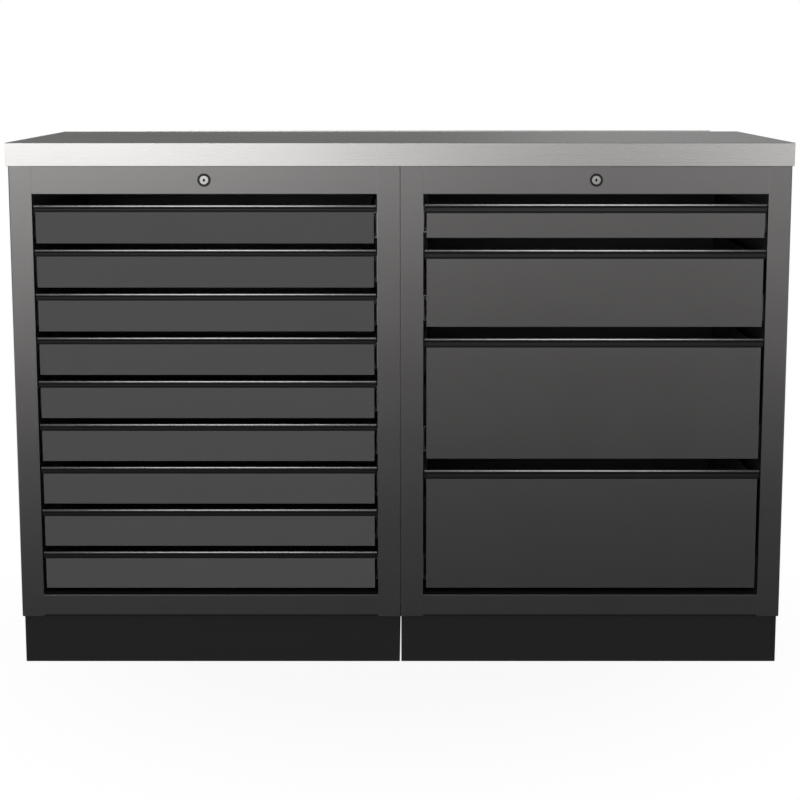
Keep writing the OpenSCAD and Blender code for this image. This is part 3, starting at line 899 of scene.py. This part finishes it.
# front, tray, runners and grip of one drawer, copied from a sample drawer of the same size if there is one
def makeDrawer(side, number, sample=None):
    name = f"{side}Drawer{number}"
    node = f"{side}_drawer_{number}"
    low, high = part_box(node + "_box")
    top = high.z - drawer["trayRise"]
    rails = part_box(node + "_middle_rails")
    if sample:
        move = (0, 0, low.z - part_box(sample["node"] + "_box")[0].z)
        parts = {key: copied(sample[key], f"{name}_{key}", move)
                 for key in ("front", "tray", "runners", "grip")}
    else:
        parts = {
            "front": makeFront(side, name + "_front", low.z, top),
            "tray": makeTray(side, name + "_tray", low.z, top, rails[1].y),
            "runners": makeRunners(side, name + "_runners", low.z, rails),
            "grip": makeGrip(side, name + "_grip", node + "_grip"),
        }
    finished(parts["front"], node, [node + "_box"], paints[drawer["frontPaint"][side]])
    finished(parts["tray"], node, [node + "_box"], paints["trayPaint"])
    finished(parts["runners"], node, [node + "_box"], zinc)
    finished(parts["grip"], node, [node + "_grip"], gripBlack)
    middleNode = node + "_middle_rails"
    middleRails = tidyCopy(middleNode, name + "_middleRails")
    softenEdges(middleRails, drawer["steelSoftEdge"], 1)
    finished(middleRails, node + "_middle", [middleNode], zinc)
    parts["node"] = node
    return parts


def drawersOf(side):
    return sum(1 for name in frame["nodes"] if name.startswith(f"{side}_drawer_") and name.endswith("_box"))


firstLeft = makeDrawer("left", 1)
for number in range(2, drawersOf("left") + 1):
    makeDrawer("left", number, firstLeft)
for number in range(1, drawersOf("right") + 1):
    makeDrawer("right", number)
keptCad("fixings", zinc)
keptCad("fixed_rails", zinc)
print("drawers made")


stage = {
    "floorHalf": 9.0,
    "floorDrop": 0.0004,
    "paleFloor": (0.85, 0.85, 0.85),
    "darkFloor": (0.05, 0.05, 0.05),
    "paleAside": (1.15, 1.9),
    "paleBehind": (-0.3, 0.3),
    "shadowReach": (0.3, 1.0),
    "shadow": 0.08,
    "camera": (0.0166, -3.0524, 1.0693),
    "tilt": 7.7,
    "lens": 73.0,
    "shift": (-0.0122, -0.1421),
}
lights = {
    # name: (place, looks at, width, height, power)
    "overLeft": ((-0.51, -1.0, 2.0), (-0.42, -0.25, 0.8), 0.7, 1.4, 140.0),
    "overRight": ((0.5, -1.0, 2.0), (0.42, -0.25, 0.8), 0.66, 1.4, 130.0),
}
room = {
    # brightness across the room from left to right, as (place, brightness up to the brightest)
    "brightest": 3.0,
    "front": ((0.0, 0.9), (0.3, 3.0), (0.44, 3.0), (0.51, 1.4), (0.56, 0.8), (0.63, 1.6), (1.0, 0.8)),
    "back": ((0.0, 0.34), (0.3, 0.26), (0.42, 0.14), (0.5, 0.17), (0.56, 0.34), (0.63, 0.3), (1.0, 0.34)),
    "turnToBack": (-0.3, 0.2),
    "below": 0.015,
    "horizon": (-0.09, -0.03),
    "bandTop": (0.25, 0.5),
    "above": 0.2,
}


def smoothRange(tree, value, span, low=0.0, high=1.0):
    node = tree.nodes.new("ShaderNodeMapRange")
    node.interpolation_type = "SMOOTHSTEP"
    node.inputs["From Min"].default_value, node.inputs["From Max"].default_value = span
    node.inputs["To Min"].default_value = low
    node.inputs["To Max"].default_value = high
    tree.links.new(value, node.inputs["Value"])
    return node.outputs["Result"]


# shows one shader to the camera and the other to everything else
def cameraSees(tree, toCamera, toRest):
    switch = tree.nodes.new("ShaderNodeMixShader")
    tree.links.new(tree.nodes.new("ShaderNodeLightPath").outputs["Is Camera Ray"], switch.inputs["Fac"])
    tree.links.new(toRest, switch.inputs[1])
    tree.links.new(toCamera, switch.inputs[2])
    return switch.outputs["Shader"]


# the camera sees a white floor with a soft shadow
# reflections see it dark in front of the bench and pale beside and behind it
def makeStudioFloor():
    clearSelection()
    bpy.ops.mesh.primitive_plane_add(size=2 * stage["floorHalf"], location=(0, 0, -stage["floorDrop"]))
    floor = bpy.context.object
    floor.name = "studioFloor"
    material = bpy.data.materials.new("studioFloor")
    material.use_nodes = True
    tree = material.node_tree
    tree.nodes.clear()
    out = tree.nodes.new("ShaderNodeOutputMaterial")
    toEye = tree.nodes.new("ShaderNodeMixShader")
    white = tree.nodes.new("ShaderNodeEmission")
    white.inputs["Color"].default_value = (1, 1, 1, 1)
    shaded = tree.nodes.new("ShaderNodeBsdfDiffuse")
    shaded.inputs["Color"].default_value = (*stage["paleFloor"], 1)
    reflected = tree.nodes.new("ShaderNodeBsdfDiffuse")
    place = tree.nodes.new("ShaderNodeTexCoord").outputs["Object"]
    parts = tree.nodes.new("ShaderNodeSeparateXYZ")
    tree.links.new(place, parts.inputs[0])
    aside = smoothRange(tree, mathNode(tree, "ABSOLUTE", parts.outputs["X"]), stage["paleAside"])
    behind = smoothRange(tree, parts.outputs["Y"], stage["paleBehind"])
    away = mathNode(tree, "MAXIMUM", aside, behind)
    tree.links.new(mixColour(tree, away, stage["darkFloor"], stage["paleFloor"]), reflected.inputs["Color"])
    length = tree.nodes.new("ShaderNodeVectorMath")
    length.operation = "LENGTH"
    tree.links.new(place, length.inputs[0])
    near = smoothRange(tree, length.outputs["Value"], stage["shadowReach"], stage["shadow"], 0.0)
    tree.links.new(near, toEye.inputs["Fac"])
    tree.links.new(white.outputs["Emission"], toEye.inputs[1])
    tree.links.new(shaded.outputs["BSDF"], toEye.inputs[2])
    seen = cameraSees(tree, toEye.outputs["Shader"], reflected.outputs["BSDF"])
    tree.links.new(seen, out.inputs["Surface"])
    floor.data.materials.append(material)


def brightnessRamp(tree, value, stops):
    ramp = tree.nodes.new("ShaderNodeValToRGB")
    ramp.color_ramp.interpolation = "EASE"
    for place, level in stops[2:]:  # a new ramp has two stops already
        ramp.color_ramp.elements.new(place)
    for (place, level), stop in zip(stops, ramp.color_ramp.elements):
        stop.position = place
        stop.color = (*(level / room["brightest"],) * 3, 1)
    tree.links.new(value, ramp.inputs["Fac"])
    return ramp.outputs["Color"]


# white behind the object, and a soft room around it: bright in front, grey behind, dark below
def makeWorld():
    world = bpy.data.worlds.new("studio")
    bpy.context.scene.world = world
    world.use_nodes = True
    tree = world.node_tree
    tree.nodes.clear()
    out = tree.nodes.new("ShaderNodeOutputWorld")
    white = tree.nodes.new("ShaderNodeBackground")
    white.inputs["Color"].default_value = (1, 1, 1, 1)
    around = tree.nodes.new("ShaderNodeBackground")
    parts = tree.nodes.new("ShaderNodeSeparateXYZ")
    tree.links.new(tree.nodes.new("ShaderNodeTexCoord").outputs["Generated"], parts.inputs[0])
    across = tree.nodes.new("ShaderNodeMapRange")
    across.inputs["From Min"].default_value = -1.0
    tree.links.new(parts.outputs["X"], across.inputs["Value"])
    front = brightnessRamp(tree, across.outputs["Result"], room["front"])
    back = brightnessRamp(tree, across.outputs["Result"], room["back"])
    behind = smoothRange(tree, parts.outputs["Y"], room["turnToBack"])
    tree.links.new(mixColour(tree, behind, front, back), around.inputs["Color"])
    brightest = room["brightest"]
    height = smoothRange(tree, parts.outputs["Z"], room["horizon"], brightest * room["below"], brightest)
    high = smoothRange(tree, parts.outputs["Z"], room["bandTop"], 1.0, room["above"])
    ceiling = mathNode(tree, "MAXIMUM", high, behind)
    tree.links.new(mathNode(tree, "MULTIPLY", height, ceiling), around.inputs["Strength"])
    seen = cameraSees(tree, white.outputs["Background"], around.outputs["Background"])
    tree.links.new(seen, out.inputs["Surface"])


def makeLight(name, place, target, width, height, power):
    data = bpy.data.lights.new(name, "AREA")
    data.shape = "ELLIPSE"
    data.size = width
    data.size_y = height
    data.energy = power
    lamp = bpy.data.objects.new(name, data)
    bpy.context.scene.collection.objects.link(lamp)
    lamp.location = place
    lamp.visible_diffuse = False
    lamp.light_linking.receiver_collection = gripSet
    lamp.rotation_euler = (Vector(target) - Vector(place)).to_track_quat("-Z", "Y").to_euler()


def makeCamera():
    data = bpy.data.cameras.new("camera")
    data.lens = stage["lens"]
    data.shift_x, data.shift_y = stage["shift"]
    camera = bpy.data.objects.new("camera", data)
    bpy.context.scene.collection.objects.link(camera)
    camera.location = stage["camera"]
    camera.rotation_euler = (math.radians(90 - stage["tilt"]), 0, 0)
    bpy.context.scene.camera = camera


# the overhead lights are for the grips' noses, and light nothing else
gripSet = bpy.data.collections.new("grips")
for obj in bpy.data.objects:
    if obj.name.endswith("_grip") and obj not in list(frame["nodes"].values()):
        gripSet.objects.link(obj)
makeStudioFloor()
makeWorld()
for name, values in lights.items():
    makeLight(name, *values)
makeCamera()
bpy.context.scene.view_settings.view_transform = "Standard"
print("stage made")
